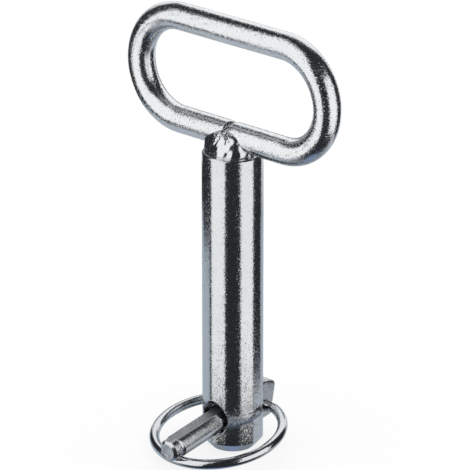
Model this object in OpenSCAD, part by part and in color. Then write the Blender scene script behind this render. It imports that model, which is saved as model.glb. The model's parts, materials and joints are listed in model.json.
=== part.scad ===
// Hitch pin. A round shaft carries a loop handle, bent from bar and welded on top.
// A linch pin with a spring ring goes through a cross hole near the shaft's lower end.
// Millimetres. The shaft stands along Z with the centre of its lower end at the origin,
// the handle lies in the X-Z plane, and the linch pin points its tip towards -Y.

/* [Shaft] */
// Diameter of the shaft
shaft_d = 25; // [22:0.5:30]
// Length of the shaft, from its lower end to its upper end
shaft_l = 129; // [90:1:180]
// Height of the cone on the lower end
nose_h = 4; // [2:0.5:6]
// Depth of the cone, measured towards the axis
nose_in = 3.5; // [1.5:0.5:5]
// Chamfer on the edge of the upper end
rim = 0.6; // [0.3:0.1:1.5]

/* [Cross hole] */
// Height of the hole's centre above the lower end
hole_z = 15; // [14:0.5:24]
// Diameter of the hole
hole_d = 13.2; // [11:0.1:15]
// Depth of the countersink at each end of the hole
sink = 1.3; // [0.5:0.1:2]

/* [Handle] */
// Diameter of the bar
bar_d = 11.3; // [9:0.1:14]
// Length of the straight runs of the loop
run_l = 55; // [40:1:80]
// Radius of the bends, at the middle of the bar
bend_r = 22; // [17:0.5:30]
// Gap between the bar and the shaft's upper end
root_gap = 1.25; // [0.6:0.05:2.5]
// Gap between the two ends of the bar
seam = 1.4; // [0.8:0.1:2.5]
// Chamfer on the two ends of the bar
bar_chamfer = 1; // [0.4:0.1:2]

/* [Weld] */
// Radius of the weld's round foot on the shaft's upper end, as a share of the shaft's radius
foot_share = 0.65; // [0.6:0.01:0.8]
// Distance of the foot inside the front edge of the shaft's upper end
foot_in = 0.1; // [0.1:0.1:1]
// Radius of the lump of weld in front of the bar
weld_r = 7.3; // [6.5:0.1:8.5]
// How far the front lump bulges past the edge of the shaft's upper end
weld_over = 0.8; // [0.2:0.1:1.5]
// Distance of the front lump's top below the top of the bar
weld_drop = 0.3; // [0.1:0.1:1.5]
// Radius of the smaller lump behind the bar
back_weld_r = 6; // [5.5:0.1:7]
// How far the back lump lies inside the edge of the shaft's upper end
back_weld_in = 1; // [0.4:0.1:1.5]
// Distance of the back lump's top below the top of the bar
back_weld_drop = 3.5; // [3:0.1:4]

/* [Linch pin] */
// Diameter of the shank
pin_d = 10; // [8:0.1:11]
// Length of the shank in front of the shaft
pin_out = 27.9; // [24:0.1:40]
// Depth of the flat along the top of the shank
flat_in = 0.6; // [0.3:0.1:1]
// Diameter of the collar at the tip
collar_d = 9.2; // [8.4:0.1:9.6]
// Chamfer at the tip, measured along the shank
tip_h = 1; // [0.5:0.1:2]
// Chamfer at the tip, measured towards the axis
tip_in = 1.25; // [0.5:0.05:2]
// Distance from the tip to the middle of the groove
groove_at = 4.2; // [3.6:0.1:6]
// Depth of the groove at the bottom of the shank
groove_in = 1.5; // [0.8:0.1:2]
// Smallest gap between the shank and the ends of the hole
pin_gap = 0.05; // [0.03:0.01:0.2]

/* [Linch pin head] */
// Thickness of the flattened head
head_t = 8; // [6:0.1:9.5]
// Gap between the head and the shaft
head_gap = 0.1; // [0.05:0.05:0.5]
// Radius of the rounded corner next to the shaft, at the head's top
brow_r = 2.6; // [2:0.1:3]
// Height of the centre of that corner above the middle of the shank
brow_up = 4.2; // [3:0.1:5]
// Radius of the rounded corner at the back of the head
heel_r = 2.3; // [1.8:0.1:3]
// Height of the centre of that corner above the middle of the shank
heel_up = 2.6; // [2:0.1:4]
// Distance between the centres of the two upper corners
head_l = 4.6; // [3:0.1:6]
// Radius of the rounded lower end of the head
lobe_r = 3.8; // [2.6:0.1:4.4]
// Distance of the centre of the lower end below the middle of the shank
lobe_down = 7; // [5.5:0.1:8]
// Rise of the domed ends of the head, from their edges to their middle
dome = 1.3; // [0.4:0.1:1.6]
// Distance of the ring's eye below the middle of the shank
eye_down = 4.3; // [3.8:0.1:5]
// Metal between the eye and the front of the head
eye_wall = 1; // [0.8:0.1:2]

/* [Spring ring] */
// Diameter of the ring's wire
wire_d = 4.15; // [3:0.05:4.6]
// Gap between the wire and the wall of the eye
eye_gap = 0.06; // [0.02:0.01:0.1]
// Gap between the wire and the bottom of the groove
snap_gap = 0.1; // [0.05:0.05:0.3]
// Straight length of each arm of the ring beside the head
arm_l = 5; // [3:0.1:10]
// Swelling of the wire where each arm bends into the ring
knuckle = 0.03; // [0.02:0.01:0.1]
// Distance between the two ends of the wire inside the head
end_space = 2; // [1:0.1:4]

/* [Hidden] */
$fn = 96;
zinc = [0.80, 0.82, 0.85];
zinc_dark = [0.70, 0.72, 0.76];
zinc_bright = [0.88, 0.89, 0.91];
past = 1; // how far a cutting shape runs past what it cuts

shaft_r = shaft_d / 2;
hole_r = hole_d / 2;
bar_r = bar_d / 2;
bar_z = shaft_l + root_gap + bar_r;
foot_r = foot_share * shaft_r;

// The shank leans in its wide hole until it meets the lower front edge and the upper back edge.
pin_r = pin_d / 2;
hole_end = shaft_r - sink;
pin_tilt = acos((pin_r + pin_gap) / norm([hole_r, hole_end])) - atan2(hole_end, hole_r);
pin_tip = -(shaft_r + pin_out);
flat_z = pin_r - flat_in;
collar_r = collar_d / 2;
wire_r = wire_d / 2;

// The groove is a round channel for the wire, set off centre so that it runs out below the flat.
groove_y = pin_tip + groove_at;
groove_r = wire_r + snap_gap;
groove_low = pin_r - groove_in;
groove_up = groove_in / 2 + snap_gap / 2;
groove_mid = groove_low + groove_up + groove_r;

// Head outline, as circles [along the shank, up, radius]. The two next to the shaft touch its wall.
function by_wall(up, r) = (shaft_r + head_gap + r + up * sin(pin_tilt)) / cos(pin_tilt);
brow = [by_wall(brow_up, brow_r), brow_up, brow_r];
heel = [brow[0] + head_l, heel_up, heel_r];
lobe = [by_wall(-lobe_down, lobe_r), -lobe_down, lobe_r];
head_top = brow_up + brow_r;
head_low = -lobe_down - lobe_r;
dome_r = (pow(head_t / 2, 2) + pow(dome, 2)) / (2 * dome);
eye_r = wire_r + eye_gap;
eye_y = by_wall(-eye_down, eye_wall + eye_r);

// The ring reaches from the eye to the groove, and its radius follows from that reach and its arms.
snap_down = groove_low + snap_gap + wire_r;
ring_reach = norm([eye_y - groove_y, snap_down - eye_down]);
ring_lean = atan2(snap_down - eye_down, eye_y - groove_y);
arm_x = head_t / 2 + arm_l;
ring_r = (pow(ring_reach, 2) + pow(arm_x, 2)) / (2 * ring_reach);
ring_y = ring_r - ring_reach;
arm_turn = atan2(-ring_y, arm_x);

// Direction of the outward normal on the tangent that joins circle a to circle b, going anticlockwise
function tangent_turn(a, b) =
    atan2(b[1] - a[1], b[0] - a[0]) - acos((a[2] - b[2]) / norm([b[0] - a[0], b[1] - a[1]]));
function on_rim(c, turn) = [c[0] + c[2] * cos(turn), c[1] + c[2] * sin(turn)];

// Circles joined by their outer tangents, listed anticlockwise
module joined_circles(circles) {
    n = len(circles);
    turns = [for (i = [0 : n - 1]) tangent_turn(circles[i], circles[(i + 1) % n])];
    polygon([for (i = [0 : n - 1], end = [0, 1]) on_rim(circles[(i + end) % n], turns[i])]);
    for (c = circles) translate([c[0], c[1]]) circle(c[2]);
}

// A cylinder along Y, from y = a to y = b
module along_y(r, a, b) {
    translate([0, a, 0]) rotate([-90, 0, 0]) cylinder(r = r, h = b - a);
}

// A bar bent about Z, from angle a to angle b
module bent(r, bar, a, b) {
    rotate([0, 0, a]) rotate_extrude(angle = b - a) translate([r, 0]) circle(bar);
}

module both_sides() {
    children();
    mirror([1, 0, 0]) children();
}

// The linch pin's own frame: Y along the shank towards the head, Z up from the shank
module on_pin() {
    translate([0, 0, hole_z]) rotate([pin_tilt, 0, 0]) children();
}

module shaft_body() {
    rotate_extrude() polygon([
        [0, 0], [shaft_r - nose_in, 0], [shaft_r, nose_h],
        [shaft_r, shaft_l - rim], [shaft_r - rim, shaft_l], [0, shaft_l]
    ]);
}

module pin_shaft() {
    color(zinc) difference() {
        shaft_body();
        translate([0, 0, hole_z]) {
            along_y(hole_r, -shaft_r - past, shaft_r + past);
            for (turn = [0, 180]) rotate([0, 0, turn]) translate([0, hole_end, 0]) rotate([-90, 0, 0])
                cylinder(r1 = hole_r, r2 = hole_r + sink + past, h = sink + past);
        }
    }
}

// Half of the lower run: one end of the bar, chamfered at the seam
module bar_end() {
    translate([seam / 2, 0, 0]) rotate([0, 90, 0]) {
        cylinder(r1 = bar_r - bar_chamfer, r2 = bar_r, h = bar_chamfer);
        translate([0, 0, bar_chamfer]) cylinder(r = bar_r, h = (run_l - seam) / 2 - bar_chamfer);
    }
}

module bar_loop() {
    translate([0, 0, bar_z]) {
        both_sides() {
            bar_end();
            translate([run_l / 2, 0, bend_r]) rotate([90, 0, 0]) bent(bend_r, bar_r, -90, 90);
        }
        translate([-run_l / 2, 0, 2 * bend_r]) rotate([0, 90, 0]) cylinder(r = bar_r, h = run_l);
    }
}

module handle() {
    color(zinc_bright) bar_loop();
}

// A round lump of weld, set from the edge of the shaft and from the top of the bar
module lump(r, over, drop) {
    translate([0, shaft_r + over - r, bar_z + bar_r - drop - r]) sphere(r);
}

// A lump on each side of the bar, with a wide foot that joins them under it
module weld_bead() {
    color(zinc_dark) difference() {
        union() {
            translate([0, foot_r + foot_in - shaft_r, shaft_l]) sphere(foot_r);
            mirror([0, 1, 0]) lump(weld_r, weld_over, weld_drop);
            lump(back_weld_r, -back_weld_in, back_weld_drop);
        }
        translate([0, 0, shaft_l - 2 * weld_r]) cylinder(r = shaft_d, h = 2 * weld_r);
        bar_loop();
    }
}

// Shank with a rounded root in the head, and at its tip a collar, a flat and the ring's groove
module shank() {
    difference() {
        union() {
            along_y(pin_r, groove_y, hole_end);
            translate([0, hole_end, 0]) sphere(pin_r);
            along_y(collar_r, pin_tip + tip_h, groove_y);
            translate([0, pin_tip, 0]) rotate([-90, 0, 0])
                cylinder(r1 = collar_r - tip_in, r2 = collar_r, h = tip_h);
        }
        translate([-pin_d, pin_tip - past, flat_z]) cube([2 * pin_d, shaft_r - pin_tip + past, pin_d]);
        translate([0, groove_y, groove_up]) rotate([-90, 0, 0]) bent(groove_mid, groove_r, 0, 360);
    }
}

// Flattened head: an outline cut from plate, with its upper and lower ends domed
module head() {
    intersection() {
        translate([-head_t / 2, 0, 0]) rotate([90, 0, 90]) linear_extrude(head_t)
            joined_circles([lobe, heel, brow]);
        for (z = [head_top - dome_r, head_low + dome_r])
            translate([0, 0, z]) along_y(dome_r, 0, heel[0] + heel_r + past);
    }
}

module linch_pin() {
    color(zinc_bright) on_pin() difference() {
        union() {
            shank();
            head();
        }
        translate([-head_t, eye_y, -eye_down]) rotate([0, 90, 0]) cylinder(r = eye_r, h = 2 * head_t);
    }
}

module spring_ring() {
    color(zinc) on_pin() translate([0, eye_y, -eye_down]) rotate([ring_lean, 0, 0]) {
        both_sides() {
            translate([end_space / 2, 0, 0]) rotate([0, 90, 0])
                cylinder(r = wire_r, h = arm_x - end_space / 2);
            translate([arm_x, 0, 0]) sphere(wire_r + knuckle);
        }
        translate([0, ring_y, 0]) bent(ring_r, wire_r, 180 - arm_turn, 360 + arm_turn);
    }
}

pin_shaft();
handle();
weld_bead();
linch_pin();
spring_ring();
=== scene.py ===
import json
import math
import bmesh
import bpy
import numpy as np
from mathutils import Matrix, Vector


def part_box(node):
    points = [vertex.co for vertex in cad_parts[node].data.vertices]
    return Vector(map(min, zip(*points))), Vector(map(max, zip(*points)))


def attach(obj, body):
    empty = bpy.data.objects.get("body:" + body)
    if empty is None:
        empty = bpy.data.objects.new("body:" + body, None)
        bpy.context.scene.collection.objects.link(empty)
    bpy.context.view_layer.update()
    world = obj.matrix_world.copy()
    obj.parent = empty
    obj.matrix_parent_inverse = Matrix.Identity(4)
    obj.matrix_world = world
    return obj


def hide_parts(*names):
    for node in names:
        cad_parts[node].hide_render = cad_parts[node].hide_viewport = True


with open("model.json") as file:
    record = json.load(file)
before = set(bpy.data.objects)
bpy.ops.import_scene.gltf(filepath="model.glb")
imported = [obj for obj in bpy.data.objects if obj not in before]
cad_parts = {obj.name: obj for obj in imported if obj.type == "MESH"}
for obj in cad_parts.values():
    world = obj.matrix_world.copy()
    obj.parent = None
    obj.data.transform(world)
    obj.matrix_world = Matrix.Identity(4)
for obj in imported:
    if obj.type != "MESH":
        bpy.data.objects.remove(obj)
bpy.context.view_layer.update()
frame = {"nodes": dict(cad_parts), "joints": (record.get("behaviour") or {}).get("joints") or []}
mm = 0.001  # shapes are worked out in millimetres, meshes are in metres
mergeGap = 2e-6  # metres, closer points become one
thinEdge = 1e-7  # metres, shorter edges go
print("frame loaded:", ", ".join(sorted(frame["nodes"])))

# Places that the frame gives, in millimetres
joints = {j["name"]: j for j in frame["joints"]}
slideAxis = joints["linch_slide"]["axis"]
hinge = np.array(joints["ring_hinge"]["pos_m"]) / mm
pinTilt = math.atan2(slideAxis[2], slideAxis[1])
shaftLow, shaftHigh = (np.array(c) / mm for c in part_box("pin_shaft"))
handleLow, handleHigh = (np.array(c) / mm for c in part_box("handle"))


# Mesh helpers

def gridFaces(rows, columns, wrapRows=False, wrapColumns=False):
    # four neighbours of each cell of a grid, with the last row or column going back to the first
    i = np.arange(rows if wrapRows else rows - 1)[:, None]
    j = np.arange(columns if wrapColumns else columns - 1)[None, :]
    nextI = (i + 1) % rows
    nextJ = (j + 1) % columns
    corners = [i * columns + j, nextI * columns + j, nextI * columns + nextJ, i * columns + nextJ]
    return np.stack(corners, -1).reshape(-1, 4)


def shell(points, wrapRows=False, wrapColumns=False):
    # a grid of points as one shell: points, faces, and the number of each face's material
    rows, columns = points.shape[:2]
    faces = gridFaces(rows, columns, wrapRows, wrapColumns)
    return points.reshape(-1, 3), faces, np.zeros(len(faces), int)


def makePiece(name, shells, node, body, materials, sharpAngle=32):
    # shells joined into one mesh, doubles merged, normals outwards, smooth but for sharp edges
    counts = np.cumsum([0] + [len(s[0]) for s in shells])
    points = np.concatenate([s[0] for s in shells]) * mm
    faces = np.concatenate([s[1] + n for s, n in zip(shells, counts)])
    finishes = np.concatenate([s[2] for s in shells])
    mesh = bpy.data.meshes.new(name)
    mesh.from_pydata(points.tolist(), [], faces.tolist())
    mesh.polygons.foreach_set("material_index", finishes.astype(np.int32))
    work = bmesh.new()
    work.from_mesh(mesh)
    bmesh.ops.remove_doubles(work, verts=work.verts, dist=mergeGap)
    bmesh.ops.dissolve_degenerate(work, edges=work.edges, dist=thinEdge)
    bmesh.ops.recalc_face_normals(work, faces=work.faces)
    work.to_mesh(mesh)
    work.free()
    mesh.polygons.foreach_set("use_smooth", np.ones(len(mesh.polygons), bool))
    mesh.set_sharp_from_angle(angle=math.radians(sharpAngle))
    piece = bpy.data.objects.new(name, mesh)
    bpy.context.scene.collection.objects.link(piece)
    for material in materials:
        mesh.materials.append(material)
    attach(piece, body)
    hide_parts(node)
    print("piece", name, len(mesh.polygons), "faces")


def roundedLine(corners, radii, steps=6):
    # a line through the corners, with an arc of the given radius in place of each inner corner:
    # the arc starts and ends at radius / tan(half the corner's angle) from the corner
    corners = np.array(corners, float)
    out = [corners[:1]]
    for before, corner, after, radius in zip(corners, corners[1:], corners[2:], radii):
        a = (before - corner) / np.linalg.norm(before - corner)
        b = (after - corner) / np.linalg.norm(after - corner)
        half = math.acos(np.clip(a @ b, -1, 1)) / 2
        middle = corner + (a + b) / np.linalg.norm(a + b) * radius / math.sin(half)
        start = corner + a * radius / math.tan(half) - middle
        end = corner + b * radius / math.tan(half) - middle
        t = np.linspace(0, 1, steps + 1)[:, None]
        turn = math.pi - 2 * half
        out.append(middle + (np.sin((1 - t) * turn) * start + np.sin(t * turn) * end) / math.sin(turn))
    out.append(corners[-1:])
    return np.concatenate(out)


def subdivided(line, step):
    # the same line with points at most a step apart
    parts = []
    for a, b in zip(line, line[1:]):
        n = max(1, math.ceil(np.linalg.norm(b - a) / step))
        parts.append(a + (b - a) * np.linspace(0, 1, n, endpoint=False)[:, None])
    return np.concatenate(parts + [line[-1:]])


def revolved(line, columns):
    # each point (radius, height) of the line goes round the Z axis
    turn = np.linspace(0, 2 * np.pi, columns, endpoint=False)
    r, z = line[:, :1], line[:, 1:]
    return np.stack([r * np.sin(turn), -r * np.cos(turn), np.broadcast_to(z, (len(line), columns))], -1)


def tube(path, sideways, outwards, radius, columns):
    # a circle carried along the path, in the plane of the two directions given for each point
    turn = np.linspace(0, 2 * np.pi, columns, endpoint=False)[None, :, None]
    radius = np.asarray(radius, float)[:, None, None]
    ring = np.cos(turn) * sideways[:, None, :] + np.sin(turn) * outwards[:, None, :]
    return path[:, None, :] + radius * ring


def turnedArc(centre, radius, start, end, count):
    # points of an arc in a plane, from one angle to another
    a = np.linspace(start, end, count)
    return np.stack([centre[0] + radius * np.cos(a), centre[1] + radius * np.sin(a)], -1)


# Finishes

def addNode(tree, kind, values={}, sources={}, **settings):
    # a node with its settings, its fixed inputs, and the sockets that feed its other inputs
    node = tree.nodes.new(kind)
    for key, value in settings.items():
        setattr(node, key, value)
    for key, value in values.items():
        node.inputs[key].default_value = value
    for key, source in sources.items():
        tree.links.new(source, node.inputs[key])
    return node


def zincFinish(name, look):
    # bright zinc: a metal with fine grain and slow waves as bump, and a tint that drifts from cool to warm
    material = bpy.data.materials.new(name)
    material.use_nodes = True
    tree = material.node_tree
    place = addNode(tree, "ShaderNodeTexCoord").outputs["Object"]
    stretch = addNode(tree, "ShaderNodeMapping", {"Scale": look["stretch"]}, {"Vector": place})
    stretched = stretch.outputs["Vector"]

    def noise(scale, detail, source):
        values = {"Scale": scale, "Detail": detail, "Roughness": 0.6}
        return addNode(tree, "ShaderNodeTexNoise", values, {"Vector": source}).outputs["Fac"]

    def ranged(source, fromLow, fromHigh, toLow, toHigh):
        values = {"From Min": fromLow, "From Max": fromHigh, "To Min": toLow, "To Max": toHigh}
        return addNode(tree, "ShaderNodeMapRange", values, {"Value": source}).outputs["Result"]

    def bump(height, sources):
        values = {"Strength": 1.0, "Distance": height * mm}
        return addNode(tree, "ShaderNodeBump", values, sources).outputs["Normal"]

    def vectorStep(operation, a, b=None):
        # b is a fixed vector or a socket
        fixed = {1: b} if isinstance(b, tuple) else {}
        sources = {0: a} if fixed or b is None else {0: a, 1: b}
        return addNode(tree, "ShaderNodeVectorMath", fixed, sources, operation=operation).outputs["Vector"]

    def cubed(v):
        return vectorStep("MULTIPLY", vectorStep("MULTIPLY", v, v), v)

    grain = noise(look["grainScale"], 3, stretched)
    wave = noise(look["waveScale"], 2, place)
    drift = noise(look["driftScale"], 2, place)
    tint = addNode(tree, "ShaderNodeValToRGB", {}, {"Fac": drift})
    for element, position, tone in zip(tint.color_ramp.elements, (0.35, 0.65), ("coolTint", "warmTint")):
        element.position = position
        element.color = (*look[tone], 1)
    speck = ranged(grain, 0.3, 0.62, look["speckDark"], 1.0)
    colour = addNode(tree, "ShaderNodeMix", {"Factor": 1.0}, {"A": tint.outputs["Color"], "B": speck},
                     data_type="RGBA", blend_type="MULTIPLY").outputs["Result"]
    rough = ranged(wave, 0.3, 0.7, look["roughLow"], look["roughHigh"])
    slow = bump(look["waveHeight"], {"Height": wave})
    fine = bump(look["grainHeight"], {"Height": grain, "Normal": slow})

    # each crystal leans its own way: a random direction from -1 to 1, cubed twice so that few lean much
    cells = addNode(tree, "ShaderNodeTexVoronoi", {"Scale": look["cellScale"]}, {"Vector": stretched})
    chance = cells.outputs["Color"]
    lean = vectorStep("MULTIPLY", vectorStep("SUBTRACT", chance, (0.5, 0.5, 0.5)), (2, 2, 2))
    tilt = cubed(lean)
    mostLean = vectorStep("MULTIPLY", tilt, (look["cellTilt"],) * 3)
    fewLean = vectorStep("MULTIPLY", cubed(tilt), (look["cellLean"],) * 3)
    leaning = vectorStep("ADD", fine, vectorStep("ADD", fewLean, mostLean))
    # and a few are dull: a random share to the fourth power adds to the roughness
    share = addNode(tree, "ShaderNodeSeparateXYZ", {}, {"Vector": chance}).outputs["X"]
    power = addNode(tree, "ShaderNodeMath", {1: 4}, {0: share}, operation="POWER").outputs["Value"]
    dull = addNode(tree, "ShaderNodeMath", {1: look["cellDull"]}, {0: power, 2: rough},
                   operation="MULTIPLY_ADD")

    shader = tree.nodes["Principled BSDF"]
    shader.inputs["Metallic"].default_value = 1.0
    tree.links.new(colour, shader.inputs["Base Color"])
    tree.links.new(vectorStep("NORMALIZE", leaning), shader.inputs["Normal"])
    tree.links.new(dull.outputs["Value"], shader.inputs["Roughness"])
    return material


zincLook = {
    "stretch": (1, 1, 1),
    "grainScale": 2400,  # waves per metre
    "grainHeight": 0.012,  # millimetres
    "cellScale": 4200,
    "cellTilt": 0.02,  # lean of most crystals, as a slope
    "cellLean": 0.15,  # lean of the few most leaning ones
    "cellDull": 0.2,  # roughness that the dullest crystals add
    "waveScale": 260,
    "waveHeight": 0.01,
    "driftScale": 45,
    "coolTint": (0.76, 0.79, 0.82),
    "warmTint": (0.80, 0.81, 0.82),
    "speckDark": 0.86,
    "roughLow": 0.10,
    "roughHigh": 0.18,
}
# what each finish changes in that look
zincChanges = {
    "shaftZinc": {
        "stretch": (1, 1, 0.5), "grainHeight": 0.008, "cellTilt": 0.016, "cellLean": 0.08, "cellDull": 0.22,
        "speckDark": 0.91, "roughLow": 0.07, "roughHigh": 0.12},
    "barZinc": {
        "cellScale": 3200, "cellTilt": 0.055, "waveHeight": 0.02,
        "coolTint": (0.87, 0.90, 0.93), "warmTint": (0.90, 0.91, 0.92)},
    "weldZinc": {
        "grainHeight": 0.006, "cellLean": 0.08, "cellDull": 0.1, "waveHeight": 0.03,
        "coolTint": (0.84, 0.87, 0.90), "warmTint": (0.87, 0.88, 0.89), "roughLow": 0.07},
    "forgedZinc": {"cellLean": 0.09, "cellDull": 0.12, "roughLow": 0.14, "roughHigh": 0.24},
    "sawnZinc": {
        "grainScale": 3200, "grainHeight": 0.035, "cellLean": 0.35, "speckDark": 0.6,
        "coolTint": (0.53, 0.55, 0.57), "warmTint": (0.56, 0.57, 0.58),
        "roughLow": 0.34, "roughHigh": 0.44},
    "wireZinc": {
        "grainHeight": 0.004, "cellLean": 0.08, "cellDull": 0.1, "roughLow": 0.08, "roughHigh": 0.12},
}
zinc = {name: zincFinish(name, {**zincLook, **change}) for name, change in zincChanges.items()}
print("finishes made:", ", ".join(zinc))


# Shaft, with its countersunk cross hole

shaft = {
    "noseHeight": 4.0,
    "noseIn": 3.5,
    "rim": 0.6,
    "edgeRound": 0.3,
    "holeHeight": 15.0,
    "holeRadius": 6.6,
    "sink": 1.3,
    "holeEdgeRound": 0.22,
    "holeBand": 9.6,  # half the height of the band that holds the hole
    "columns": 192,  # round the shaft, a multiple of 6
    "bandRows": 44,
}
shaftRadius = (shaftHigh[0] - shaftLow[0]) / 2
shaftLength = shaftHigh[2]
holeEnd = shaftRadius - shaft["sink"]


def holeRim(turn):
    # distance of the hole's edge from the hole's axis: the bore, or the cone that meets the shaft's wall,
    # where bore + (wall's depth - start of the cone) = distance, found by repeating it from the bore
    distance = np.full_like(turn, shaft["holeRadius"])
    for _ in range(60):
        wall = np.sqrt(shaftRadius ** 2 - (distance * np.cos(turn)) ** 2)
        distance = (distance + np.maximum(shaft["holeRadius"], shaft["holeRadius"] + wall - holeEnd)) / 2
    return distance


def onWall(x, z):
    # the point of the shaft's front wall at this x and z
    return np.stack([x, -np.sqrt(shaftRadius ** 2 - x ** 2), z], -1)


def holePatch():
    # front wall round the hole, over a third of the way round the shaft: rows run from the outer frame of
    # the patch to the hole's edge, round that edge, down the cone and along the bore to its middle
    third = shaft["columns"] // 3
    low = shaft["holeHeight"] - shaft["holeBand"]
    high = shaft["holeHeight"] + shaft["holeBand"]
    across = np.linspace(-np.pi / 3, np.pi / 3, third + 1)
    up = np.linspace(low, high, shaft["bandRows"] + 1)
    outerX = shaftRadius * np.sin(np.concatenate([
        across[:-1], np.full(len(up) - 1, across[-1]), across[:0:-1], np.full(len(up) - 1, across[0])]))
    outerZ = np.concatenate([
        np.full(third, low), up[:-1], np.full(third, high), up[:0:-1]])
    turn = np.arctan2(outerZ - shaft["holeHeight"], outerX)
    rim = holeRim(turn)
    softRim = rim + shaft["holeEdgeRound"]
    t = np.linspace(0, 1, 16)[:, None] ** 0.8
    x = outerX + (softRim * np.cos(turn) - outerX) * t
    z = outerZ + (shaft["holeHeight"] + softRim * np.sin(turn) - outerZ) * t
    wallRows = onWall(x, z)

    def inHole(distance, depth):
        # the point at this distance from the hole's axis, and this far from the shaft's axis along it
        z = shaft["holeHeight"] + distance * np.sin(turn)
        return np.stack([distance * np.cos(turn), -depth, z], -1)

    bore = np.full_like(turn, shaft["holeRadius"])
    rimDepth = np.sqrt(shaftRadius ** 2 - (rim * np.cos(turn)) ** 2)
    boreDepth = np.minimum(holeEnd, rimDepth)
    cone = np.hypot(rim - bore, rimDepth - boreDepth)

    def downHole(way):
        # the point this far from the edge, first down the cone and then along the bore
        share = np.clip(way / np.maximum(cone, 1e-9), 0, 1)
        past = np.maximum(way - cone, 0)
        return inHole(rim + (bore - rim) * share, rimDepth + (boreDepth - rimDepth) * share - past)

    edge = inHole(rim, rimDepth)
    soft = np.full_like(turn, shaft["holeEdgeRound"])
    inner = downHole(soft)
    s = np.linspace(0, 1, 6)[1:-1, None, None]
    roundRows = (1 - s) ** 2 * wallRows[-1] + 2 * s * (1 - s) * edge + s ** 2 * inner
    coneEnd = np.maximum(soft, cone)
    coneRows = [downHole(soft + (coneEnd - soft) * k) for k in np.linspace(0, 1, 5)]
    length = cone + boreDepth
    boreRows = [downHole(coneEnd + (length - coneEnd) * k) for k in np.linspace(0, 1, 14)[1:]]
    return np.concatenate([wallRows, roundRows, np.stack(coneRows), np.stack(boreRows)])


def sideBand(middle):
    # plain wall beside the holes, a sixth of the way round, at the same heights as the patches
    sixth = shaft["columns"] // 6
    turn = np.linspace(middle - np.pi / 6, middle + np.pi / 6, sixth + 1)[None, :]
    z = np.linspace(-shaft["holeBand"], shaft["holeBand"], shaft["bandRows"] + 1)[:, None]
    x = shaftRadius * np.sin(turn) + 0 * z
    y = -shaftRadius * np.cos(turn) + 0 * z
    return np.stack([x, y, z + shaft["holeHeight"] + 0 * turn], -1)


def buildShaft():
    # turned lower and upper part, and between them two patches with the hole and two plain bands
    s = shaft
    low = s["holeHeight"] - s["holeBand"]
    high = s["holeHeight"] + s["holeBand"]
    lowLine = roundedLine(
        [(0, 0), (shaftRadius - s["noseIn"], 0), (shaftRadius, s["noseHeight"]), (shaftRadius, low)],
        [s["edgeRound"], s["edgeRound"]])
    highLine = roundedLine(
        [(shaftRadius, high), (shaftRadius, shaftLength - s["rim"]), (shaftRadius - s["rim"], shaftLength),
         (0, shaftLength)], [s["edgeRound"], s["edgeRound"]])
    patch = holePatch()
    back = patch * [1, -1, 1]
    shells = [
        shell(revolved(subdivided(lowLine, 2.5), s["columns"]), wrapColumns=True),
        shell(revolved(subdivided(highLine, 4), s["columns"]), wrapColumns=True),
        shell(patch, wrapColumns=True),
        shell(back, wrapColumns=True),
        shell(sideBand(np.pi / 2)),
        shell(sideBand(-np.pi / 2)),
    ]
    makePiece("shaftTurned", shells, "pin_shaft", "shaft_and_handle", [zinc["shaftZinc"]])


buildShaft()


# Handle, one bar bent into a loop

loop = {
    "seam": 1.4,
    "chamfer": 1.0,
    "columns": 72,
    "bendRows": 72,
    "runRows": 24,  # along half of the lower run
    "topRows": 18,  # along half of the upper run
    "endAlong": (0, 0, 0.25, 0.6, 1, 1.2),  # soft chamfer of the bar's ends: chamfers along, and inwards
    "endIn": (1, 0.7, 0.3, 0.03, 0),
    "ovality": 0.012,  # share that the bar flattens in a bend
}
barRadius = (handleHigh[1] - handleLow[1]) / 2
barHeight = handleLow[2] + barRadius
bendRadius = (handleHigh[2] - handleLow[2]) / 2 - barRadius
halfRun = handleHigh[0] - barRadius - bendRadius


def buildHandle():
    # half of the loop's middle line, from the seam to the middle of the upper run, then its mirror image
    c = loop["chamfer"]
    start = loop["seam"] / 2
    ends = start + c * np.array(loop["endAlong"])
    endRadii = np.concatenate([[0], barRadius - c * np.array(loop["endIn"])])
    straight = np.linspace(start + 2 * c, halfRun, loop["runRows"])[:-1]
    bendMiddle = (halfRun, barHeight + bendRadius)
    bend = turnedArc(bendMiddle, bendRadius, -np.pi / 2, np.pi / 2, loop["bendRows"] + 1)
    top = np.linspace(halfRun, 0, loop["topRows"])[1:]
    x = np.concatenate([ends, straight, bend[:, 0], top])
    z = np.concatenate([np.full(len(ends) + len(straight), barHeight), bend[:, 1],
                        np.full(len(top), barHeight + 2 * bendRadius)])
    radius = np.concatenate([endRadii, np.full(len(x) - len(endRadii), barRadius)])
    slope = np.concatenate([np.full(len(ends) + len(straight), -np.pi / 2),
                            np.linspace(-np.pi / 2, np.pi / 2, len(bend)), np.full(len(top), np.pi / 2)])
    squeeze = np.cos(slope) ** 2 * loop["ovality"]
    outwards = np.stack([np.cos(slope), 0 * slope, np.sin(slope)], -1) * (1 - squeeze)[:, None]
    sideways = np.stack([0 * slope, 1 + squeeze / 2, 0 * slope], -1)
    path = np.stack([x, 0 * x, z], -1)
    right = tube(path, sideways, outwards, radius, loop["columns"])
    left = right[::-1][1:] * [-1, 1, 1]
    shells = [shell(np.concatenate([right, left]), wrapColumns=True)]
    makePiece("handleBar", shells, "handle", "shaft_and_handle", [zinc["barZinc"]])


buildHandle()


# Weld, a soft lump that grips both ends of the bar

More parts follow.
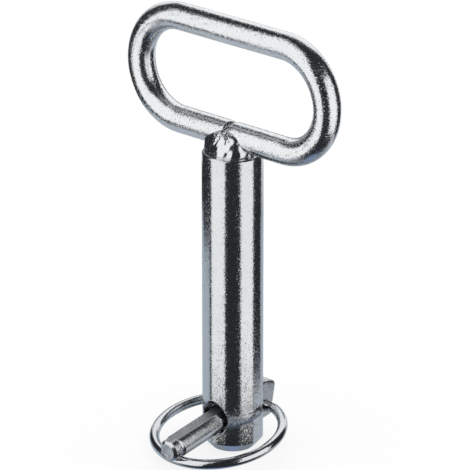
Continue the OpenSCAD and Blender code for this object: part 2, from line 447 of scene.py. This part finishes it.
weld = {
    "inside": (-1.5, -1.5, 133),  # a point inside every lump
    "lumps": [
        # centre and radii
        ((0.2, -2.2, 131.4), (8.8, 7.0, 8.2)),  # broad middle
        ((-4.0, -2.9, 130.8), (8.0, 4.6, 7.2)),  # left end
        ((1.3, -4.6, 130.8), (4.2, 5.9, 6.4)),  # drop that runs down towards the shaft's edge
        ((3.8, -3.6, 131.4), (6.2, 5.4, 7.0)),  # right end
        ((-0.2, -0.8, 134.6), (1.7, 4.9, 5.4)),  # metal between the bar's two ends
        ((0, 4.4, 132.0), (6.6, 6.6, 6.2)),  # back
    ],
    "softness": 11,  # higher keeps the lumps more apart
    "sink": 0.25,  # how far the lump goes into the shaft's upper end
    "wrinkles": [
        # points (x, z) on the front of the weld, then width and depth
        ([(-0.4, 139.9), (0.1, 138.8), (-0.7, 136.8), (-0.9, 135.4), (-1.7, 134.0)], 0.5, 0.5),
        ([(0.3, 138.3), (2.6, 137.7), (3.6, 136.6), (3.9, 135.2)], 0.4, 0.35),
        ([(-0.6, 137.2), (-2.4, 136.9), (-3.4, 136.2)], 0.35, 0.3),
    ],
    "stray": (0.25, 0.12, 0.2),  # how far the wrinkles sway off their lines: across, across again, and up
    "fade": 0.55,  # share of its depth that a wrinkle loses towards its end
    "lip": 0.22,  # height of the ridge beside a wrinkle, as a share of its depth
    "ripple": 0.05,  # height of the slow ripples
    "sharpAngle": 50,  # degrees, a steeper fold stays a hard line
    "rows": 170,
    "columns": 300,
}


def lumpReach(direction, lump):
    # how far a ray from the inner point goes until it leaves an ellipsoid: larger root of a quadratic
    centre, radii = (np.array(v, float) for v in lump)
    o = (np.array(weld["inside"], float) - centre) / radii
    d = direction / radii
    a = (d * d).sum(-1)
    b = (d * o).sum(-1)
    return (-b + np.sqrt(b * b - a * (o @ o - 1))) / a


def lineDistance(x, z, line):
    # distance of each point from a line of straight pieces, and the share of the way along it
    best = np.full(x.shape, 1e9)
    along = np.zeros(x.shape)
    line = np.array(line, float)
    for k, (a, b) in enumerate(zip(line, line[1:])):
        step = b - a
        t = np.clip(((x - a[0]) * step[0] + (z - a[1]) * step[1]) / (step @ step), 0, 1)
        gap = np.hypot(x - a[0] - t * step[0], z - a[1] - t * step[1])
        along = np.where(gap < best, (k + t) / (len(line) - 1), along)
        best = np.minimum(best, gap)
    return best, along


def buildWeld():
    # distance from the inner point as a soft maximum of the lumps, less the wrinkles and slow ripples
    tilt = np.linspace(0, np.pi, weld["rows"])[:, None]
    turn = np.linspace(0, 2 * np.pi, weld["columns"], endpoint=False)[None, :]
    direction = np.stack([np.sin(tilt) * np.sin(turn), -np.sin(tilt) * np.cos(turn),
                          np.cos(tilt) + 0 * turn], -1)
    p = weld["softness"]
    reach = sum(lumpReach(direction, lump) ** p for lump in weld["lumps"]) ** (1 / p)
    points = np.array(weld["inside"]) + reach[..., None] * direction
    x, y, z = np.moveaxis(points, -1, 0)
    sway, shiver, lift = weld["stray"]
    strayX = x + sway * np.sin(2.1 * z + 0.7 * x) + shiver * np.sin(5.3 * z)
    strayZ = z + lift * np.sin(2.7 * x + 1.3)
    front = y < 0
    for line, width, depth in weld["wrinkles"]:
        gap, along = lineDistance(strayX, strayZ, line)
        groove = depth * np.exp(-(gap / width) ** 2) * (1 - weld["fade"] * along)
        lip = weld["lip"] * depth * np.exp(-((gap - 2 * width) / (1.1 * width)) ** 2)
        reach = reach - front * (groove - lip)
    ripple = np.sin(0.9 * x + 1.7 * y) * np.sin(0.8 * z) + np.sin(1.9 * x - 1.1 * z)
    reach = reach + weld["ripple"] * ripple * np.sin(tilt)
    points = np.array(weld["inside"]) + reach[..., None] * direction
    floor = shaftLength - weld["sink"]
    points[..., 2] = np.maximum(points[..., 2], floor)
    shells = [shell(points, wrapColumns=True)]
    makePiece("weldLump", shells, "weld_bead", "shaft_and_handle", [zinc["weldZinc"]],
              weld["sharpAngle"])


buildWeld()


# Linch pin: shank with collar, flat and groove, and a flattened head with an eye

linch = {
    "tip": -40.4,  # along the shank, from the shaft's axis
    "radius": 5.0,
    "flatIn": 0.6,
    "collarRadius": 4.6,
    "tipHeight": 1.0,
    "tipIn": 1.25,
    "tipDish": 0.35,
    "grooveAt": 4.2,
    "grooveIn": 1.5,
    "snapGap": 0.1,
    "headThick": 8.0,
    "headGap": 0.1,
    "brow": (4.2, 2.6),  # height over the shank's middle, radius
    "heel": (2.6, 2.3),
    "headLong": 4.6,
    "lobe": (-7.0, 3.8),
    "dome": 1.3,
    "headEdge": 0.7,
    "eyeDown": 4.3,
    "eyeWall": 1.0,
    "eyeGap": 0.06,
    "eyeChamfer": 0.55,
    "wireRadius": 2.075,
    "faceRings": (0, 0.35, 0.7, 1),  # end face from its middle to its edge: shares of its radius and dish
    "faceDish": (1, 0.85, 0.2, 0),
    "columns": 129,  # round the shank below the flat
    "flatColumns": 21,
    "headColumns": 240,
}
eyeRadius = linch["wireRadius"] + linch["eyeGap"]
grooveS = linch["tip"] + linch["grooveAt"]
snapDown = linch["radius"] - linch["grooveIn"] + linch["snapGap"] + linch["wireRadius"]


def fromPin(x, s, n):
    # the pin's own frame, across, along and up, as places in the part
    return np.stack([x, s * math.cos(pinTilt) - n * math.sin(pinTilt),
                     shaft["holeHeight"] + s * math.sin(pinTilt) + n * math.cos(pinTilt)], -1)


def byWall(up, radius):
    # how far along the pin a circle at this height lies when it touches the shaft's back
    return (shaftRadius + linch["headGap"] + radius + up * math.sin(pinTilt)) / math.cos(pinTilt)


eye = np.array([byWall(-linch["eyeDown"], linch["eyeWall"] + eyeRadius), -linch["eyeDown"]])  # along and up


def shankRows():
    # places along the shank, closer together at the tip, the groove and the rounded root
    p = linch
    tip = p["tip"]
    rings = len(p["faceRings"])
    face = np.full(rings, tip)
    groove = np.linspace(tip + p["tipHeight"] + 0.3, grooveS + 3.2, 64)
    plain = np.linspace(grooveS + 3.4, holeEnd, 60)
    root = holeEnd + p["radius"] * np.sin(np.linspace(0, np.pi / 2, 14)[1:])
    chamfer = np.linspace(tip, tip + p["tipHeight"], 6)[1:]
    s = np.concatenate([face, chamfer, groove, plain, root])
    edge = p["collarRadius"] - p["tipIn"]
    radius = np.where(s < grooveS, p["collarRadius"], p["radius"])
    radius = np.where(s > holeEnd, np.sqrt(np.maximum(p["radius"] ** 2 - (s - holeEnd) ** 2, 0)), radius)
    ramp = edge + (s - tip) / p["tipHeight"] * p["tipIn"]
    radius = np.where(s < tip + p["tipHeight"], np.minimum(ramp, p["collarRadius"]), radius)
    radius[:rings] = edge * np.array(p["faceRings"])
    dish = np.zeros(len(s))
    dish[:rings] = p["tipDish"] * np.array(p["faceDish"])
    return s + dish, s, radius


def buildLinch():
    # shank: at each place along it an arc below the flat and a chord across the flat, and then the head
    p = linch
    place, s, radius = (v[:, None] for v in shankRows())
    flat = p["radius"] - p["flatIn"]
    cut = np.where(s < shaftRadius, flat, p["radius"])
    edgeTurn = np.arcsin(np.clip(cut / np.maximum(radius, 1e-6), -1, 1))
    k = np.linspace(0, 1, p["columns"])[None, :]
    turn = edgeTurn - (np.pi + 2 * edgeTurn) * k  # from the flat's one edge round below to its other edge
    # the groove is a ring-shaped channel set above the middle: its near wall lies where the distance from
    # the channel's own centre equals its middle radius less the half-width at this place
    grooveRadius = p["wireRadius"] + p["snapGap"]
    grooveUp = p["grooveIn"] / 2 + p["snapGap"] / 2
    grooveMid = p["radius"] - p["grooveIn"] + grooveUp + grooveRadius
    half = np.sqrt(np.maximum(grooveRadius ** 2 - (s - grooveS) ** 2, 0))
    inner = grooveMid - half
    up = np.sin(turn) * grooveUp
    channel = up + np.sqrt(np.maximum(up ** 2 - grooveUp ** 2 + inner ** 2, 0))
    inGroove = np.abs(s - grooveS) < grooveRadius
    shape = np.where(inGroove, np.minimum(radius, channel), radius)
    x = shape * np.cos(turn)
    n = shape * np.sin(turn)
    chord = np.linspace(0, 1, p["flatColumns"])[None, 1:-1]
    flatX = x[:, -1:] + (x[:, :1] - x[:, -1:]) * chord
    flatN = n[:, -1:] + (n[:, :1] - n[:, -1:]) * chord
    allX = np.concatenate([x, flatX], 1)
    allN = np.concatenate([n, flatN], 1)
    shank = fromPin(allX, place + 0 * allX, allN)
    finishes = np.zeros((len(s) - 1, allX.shape[1]), int)
    finishes[len(p["faceRings"]):, p["columns"] - 1:] = 1  # the sawn flat
    points, faces, _ = shell(shank, wrapColumns=True)
    shells = [(points, faces, finishes.reshape(-1)), headShell()]
    makePiece("linchForged", shells, "linch_pin", "linch",
              [zinc["forgedZinc"], zinc["sawnZinc"]])


def headOutline():
    # three circles joined by their outer tangents: points along it, and the outward direction at each
    p = linch
    browS = byWall(*p["brow"])
    circles = np.array([
        (byWall(*p["lobe"]), *p["lobe"]),
        (browS + p["headLong"], *p["heel"]),
        (browS, *p["brow"])])
    following = np.roll(circles, -1, 0)
    step = following[:, :2] - circles[:, :2]
    lean = np.arccos((circles[:, 2] - following[:, 2]) / np.hypot(step[:, 0], step[:, 1]))
    turns = np.arctan2(step[:, 1], step[:, 0]) - lean
    points = []
    normals = []
    for c, start, end in zip(circles, np.roll(turns, 1), turns):
        a = start + np.linspace(0, 1, 25)[:, None] * ((end - start) % (2 * np.pi))
        normal = np.concatenate([np.cos(a), np.sin(a)], 1)
        points.append(c[:2] + c[2] * normal)
        normals.append(normal)
    line = np.concatenate(points + [points[0][:1]])
    normal = np.concatenate(normals + [normals[0][:1]])
    length = np.concatenate([[0], np.cumsum(np.linalg.norm(np.diff(line, axis=0), axis=1))])
    even = np.linspace(0, length[-1], p["headColumns"], endpoint=False)
    evenLine = np.stack([np.interp(even, length, line[:, k]) for k in (0, 1)], -1)
    evenNormal = np.stack([np.interp(even, length, normal[:, k]) for k in (0, 1)], -1)
    return evenLine, evenNormal / np.linalg.norm(evenNormal, axis=1)[:, None]


def headShell():
    # for each point of the outline a closed profile: through the eye, out over one side, across the rim
    # and back over the other side. The rim keeps inside a circle that domes the top and the bottom.
    p = linch
    line, normal = headOutline()
    halfThick = p["headThick"] / 2
    top = p["brow"][0] + p["brow"][1]
    domeRadius = (halfThick ** 2 + p["dome"] ** 2) / (2 * p["dome"])
    low = p["lobe"][0] - p["lobe"][1]
    away = line - eye
    away = away / np.linalg.norm(away, axis=1)[:, None]
    # rounded edges at both sides of the rim, and even rows across it
    rimTurn = np.linspace(-np.pi / 2, np.pi / 2, 13)
    edge = p["headEdge"]
    bends = np.concatenate([rimTurn[:6], rimTurn[7:]])
    rimX = np.sign(bends) * (halfThick - edge) + edge * np.sin(bends)
    rimX = np.concatenate([rimX[:6], np.linspace(rimX[5], rimX[6], 14)[1:-1], rimX[6:]])
    inset = edge - np.sqrt(np.maximum(edge ** 2 - np.maximum(np.abs(rimX) - halfThick + edge, 0) ** 2, 0))
    rows = []

    def addRow(x, place):
        # one row at this x, kept below the dome at the top and above the one at the bottom
        fall = domeRadius - math.sqrt(domeRadius ** 2 - x ** 2)
        n = np.clip(place[:, 1], low + fall, top - fall)
        rows.append(fromPin(np.full(len(n), x), place[:, 0], n))

    eyeRim = eye + away * eyeRadius
    for x in np.linspace(halfThick - p["eyeChamfer"], -halfThick + p["eyeChamfer"], 9):
        addRow(x, eyeRim)
    sideLine = line - normal * edge
    room = np.linalg.norm(sideLine - eyeRim, axis=1)[:, None]
    mouth = eyeRim + away * np.minimum(p["eyeChamfer"], 0.7 * room)
    for share in np.linspace(0, 1, 8):
        addRow(-halfThick, mouth + (sideLine - mouth) * share)
    for x, back in zip(rimX[1:-1], inset[1:-1]):
        addRow(x, line - normal * back)
    for share in np.linspace(1, 0, 8):
        addRow(halfThick, mouth + (sideLine - mouth) * share)
    return shell(np.stack(rows), wrapRows=True, wrapColumns=True)


buildLinch()


# Spring ring, one wire with its two ends in the eye

ring = {
    "armEnd": 9.0,  # where the arm's line meets the ring's circle
    "armBend": 4.0,
    "endSpace": 2.0,
    "columns": 40,
    "endFace": 0.8,  # where the wire's end face has one more row, as a share of its radius
    "armRows": 13,
    "bendRows": 12,
    "arcRows": 110,
}


def buildRing():
    # half of the wire's middle line: an arm, a bend that touches both, and the arc to the ring's front
    seat = np.array([grooveS, -snapDown])
    reach = np.linalg.norm(eye - seat)
    lean = pinTilt + math.atan2(eye[1] - seat[1], eye[0] - seat[0])
    radius = (reach ** 2 + ring["armEnd"] ** 2) / (2 * reach)
    middle = radius - reach
    bend = ring["armBend"]
    bendX = math.sqrt((radius - bend) ** 2 - (-middle - bend) ** 2)
    bendTurn = math.atan2(-bend - middle, bendX)
    armX = np.linspace(ring["endSpace"] / 2, bendX, ring["armRows"] + 1)[:-1]
    arm = np.stack([armX, 0 * armX], -1)
    corner = turnedArc((bendX, -bend), bend, np.pi / 2, bendTurn, ring["bendRows"])
    arc = turnedArc((0, middle), radius, bendTurn, -np.pi / 2, ring["arcRows"])[1:]
    flat = np.concatenate([arm[:1], arm[:1], arm, corner, arc])
    slope = np.concatenate([np.full(len(arm) + 2, np.pi / 2), np.linspace(np.pi / 2, bendTurn, len(corner)),
                            np.linspace(bendTurn, -np.pi / 2, len(arc) + 1)[1:]])
    wire = np.full(len(flat), linch["wireRadius"])
    wire[:2] = [0, ring["endFace"] * linch["wireRadius"]]
    along = np.array([0, math.cos(lean), math.sin(lean)])
    across = np.array([1.0, 0, 0])
    above = np.array([0, -math.sin(lean), math.cos(lean)])
    path = hinge + flat[:, :1] * across + flat[:, 1:] * along
    outwards = np.cos(slope)[:, None] * across + np.sin(slope)[:, None] * along
    right = tube(path, np.broadcast_to(above, path.shape), outwards, wire, ring["columns"])
    left = right[::-1][1:] * [-1, 1, 1]
    shells = [shell(np.concatenate([right, left]), wrapColumns=True)]
    makePiece("ringWire", shells, "spring_ring", "ring", [zinc["wireZinc"]])


buildRing()


# Camera, as the photograph sees the pin

view = {
    "azimuth": 41.478,
    "elevation": 21.779,
    "distance": 1600,
    "height": 92.524,
    "aside": 0.934,
    "pixelsPerMm": 2.4652,  # at the distance of the target
    "pixels": 470,
    "sensor": 36,
}
azimuth = math.radians(view["azimuth"])
elevation = math.radians(view["elevation"])
towardsCamera = Vector((math.sin(azimuth) * math.cos(elevation), -math.cos(azimuth) * math.cos(elevation),
                        math.sin(elevation)))
towardsRight = Vector((math.cos(azimuth), math.sin(azimuth), 0))


def buildCamera():
    # lens: the share of the picture that a millimetre takes, times the distance and the sensor's width
    target = Vector((0, 0, view["height"])) + towardsRight * view["aside"]
    data = bpy.data.cameras.new("camera")
    data.sensor_width = view["sensor"]
    data.lens = view["pixelsPerMm"] * view["distance"] / view["pixels"] * view["sensor"]
    data.clip_start = 0.05
    data.clip_end = 50
    camera = bpy.data.objects.new("camera", data)
    camera.location = (target + towardsCamera * view["distance"]) * mm
    camera.rotation_mode = "QUATERNION"
    camera.rotation_quaternion = (-towardsCamera).to_track_quat("-Z", "Y")
    bpy.context.scene.collection.objects.link(camera)
    bpy.context.scene.camera = camera


buildCamera()


# Studio: a white floor and room, and round the part a drum of light panels and dark cloth that only
# reflections see

white = (1.0, 1.0, 1.0)
dark = (0.024, 0.026, 0.03)
studio = {
    "floorSize": 8000,
    "floorDrop": 0.1,  # below the part
    "floorGlow": 0.82,  # share of the floor's white that stays white in the shadow
    "wallRadius": 300,
    "wallLow": -260,
    "wallHigh": 560,
    "wallStep": 1.5,  # degrees
    "wallRows": 165,
    "lidRings": 8,
    "deep": (0.22, 0.29, 0.46),  # blue below the part
    "deepReach": 4 / 9,  # share of the drum's radius at which the blue ends, and over which it fades
    "deepSoft": 2 / 9,
    "lidDark": 0.4,  # share of the lid's radius that is dark, and over which the lights then rise
    "lidSoft": 0.65,
    "panels": [
        # from and to azimuth, from and to height, colour, softness of the sides in degrees, and of the
        # lower and the upper end in millimetres
        (262, 292, -260, -128, (0.46, 0.49, 0.53), 8, 30, 20),  # table's far left
        (84, 130, -260, -99, (0.50, 0.53, 0.57), 6, 30, 14),  # table on the right
        (128, 220, -260, -12, (0.44, 0.49, 0.55), 6, 30, 18),  # grey table behind
        (214, 264, -260, -27, (0.46, 0.51, 0.57), 6, 30, 18),  # its left part
        (-85.5, -29.5, -112, 10, white, 4, 22, 20),  # left light, low
        (-85.5, -28, 0, 80, white, 4, 20, 20),  # left light, at the lower run of the handle
        (-100, -27, 60, 440, white, 4, 20, 60),  # left light, high
        (-109, -27, 380, 620, white, 6, 80, 40),  # left light, leaning over the part
        (-122, -103.5, 415, 500, dark, 3, 30, 16),  # cloth beside it
        (29.5, 81, -112, 20, white, 4, 22, 20),  # right light, low
        (27, 81, 10, 345, white, 4, 20, 70),  # right light, high
        (133, 182, -12, 30, (0.58, 0.60, 0.63), 8, 16, 16),  # shaded foot of the cloth behind
        (133, 212, 16, 330, white, 8, 16, 60),  # white cloth behind
        (133, 192, 260, 560, white, 8, 60, 40),  # its upper part
        (150, 208, 50, 175, (0.20, 0.22, 0.25), 8, 20, 30),  # grey gap in it, seen on the handle's edges
    ],
}


def rampUp(x):
    # 0 below 0, 1 above 1, and a smooth rise between
    t = np.clip(x, 0, 1)
    return t * t * (3 - 2 * t)


def panelShare(x, low, high, lowSoft, highSoft):
    # 1 inside, 0 outside, half at the two edges
    return rampUp((x - low) / lowSoft + 0.5) * rampUp((high - x) / highSoft + 0.5)


def stageMaterial(name):
    # an empty material, its node tree and the socket that takes its surface
    material = bpy.data.materials.new(name)
    material.use_nodes = True
    tree = material.node_tree
    tree.nodes.clear()
    return material, tree, addNode(tree, "ShaderNodeOutputMaterial").inputs["Surface"]


def stagePiece(name, points, faces, material, shownTo):
    # a piece of the studio, seen only by the named kinds of rays
    mesh = bpy.data.meshes.new(name)
    mesh.from_pydata((np.asarray(points, float) * mm).tolist(), [], faces)
    mesh.materials.append(material)
    piece = bpy.data.objects.new(name, mesh)
    bpy.context.scene.collection.objects.link(piece)
    piece.visible_camera = "camera" in shownTo
    piece.visible_diffuse = "diffuse" in shownTo
    piece.visible_glossy = "glossy" in shownTo
    piece.visible_shadow = "shadow" in shownTo
    return piece


def buildFloor():
    # a white square that partly glows, so that the part's shadow stays pale
    half = studio["floorSize"] / 2
    z = -studio["floorDrop"]
    material, tree, out = stageMaterial("whiteFloor")
    soft = addNode(tree, "ShaderNodeBsdfDiffuse", {"Color": (1, 1, 1, 1)}).outputs["BSDF"]
    glow = addNode(tree, "ShaderNodeEmission").outputs["Emission"]
    both = addNode(tree, "ShaderNodeMixShader", {"Fac": studio["floorGlow"]}, {1: soft, 2: glow})
    tree.links.new(both.outputs["Shader"], out)
    corners = [(-half, -half, z), (half, -half, z), (half, half, z), (-half, half, z)]
    stagePiece("floor", corners, [(0, 1, 2, 3)], material, ("camera", "diffuse", "shadow"))


def buildWall():
    # a closed drum round the part: each panel in turn is painted over the dark cloth by its share at each
    # azimuth, counted from the camera, and height
    rings = studio["lidRings"]
    turns = np.arange(-180, 180, studio["wallStep"])
    heights = np.linspace(studio["wallLow"], studio["wallHigh"], studio["wallRows"])
    heights = np.concatenate([np.full(rings, heights[0]), heights, np.full(rings, heights[-1])])[:, None]
    inner = np.arange(rings) / rings
    share = np.concatenate([inner, np.ones(studio["wallRows"]), inner[::-1]])[:, None]
    radius = share * studio["wallRadius"]
    world = np.radians(turns)[None, :] + azimuth - np.pi / 2
    points = np.stack([radius * np.cos(world), radius * np.sin(world), heights + 0 * world], -1)
    colour = np.broadcast_to(np.array(dark), points.shape).copy()

    def paint(amount, tone):
        colour[:] += amount[..., None] * (np.array(tone) - colour)

    for low, high, bottom, top, tone, sideSoft, lowSoft, highSoft in studio["panels"]:
        around = (turns - low + sideSoft) % 360 + low - sideSoft
        upward = panelShare(heights, bottom, top, lowSoft, highSoft)
        paint(panelShare(around, low, high, sideSoft, sideSoft) * upward, tone)
    onLid = heights > studio["wallHigh"] - 1
    paint(onLid * (1 - rampUp((share - studio["lidDark"]) / studio["lidSoft"])), dark)
    onBase = heights < studio["wallLow"] + 1
    paint(onBase * rampUp((studio["deepReach"] - share) / studio["deepSoft"]), studio["deep"])
    material, tree, out = stageMaterial("wallLight")
    tone = addNode(tree, "ShaderNodeAttribute", attribute_name="tone").outputs["Color"]
    glow = addNode(tree, "ShaderNodeEmission", {}, {"Color": tone})
    tree.links.new(glow.outputs["Emission"], out)
    points, faces, _ = shell(points, wrapColumns=True)
    wall = stagePiece("wall", points, faces.tolist(), material, ("glossy",))
    layer = wall.data.attributes.new("tone", "FLOAT_COLOR", "POINT")
    solid = np.ones((len(points), 1))
    layer.data.foreach_set("color", np.concatenate([colour.reshape(-1, 3), solid], 1).ravel())


def buildRoom():
    # plain white light from all round
    world = bpy.data.worlds.new("whiteRoom")
    world.use_nodes = True
    world.node_tree.nodes["Background"].inputs["Color"].default_value = (1, 1, 1, 1)
    world.node_tree.nodes["Background"].inputs["Strength"].default_value = 1.0
    bpy.context.scene.world = world


buildFloor()
buildWall()
buildRoom()
bpy.context.scene.view_settings.view_transform = "Standard"
print("studio made")
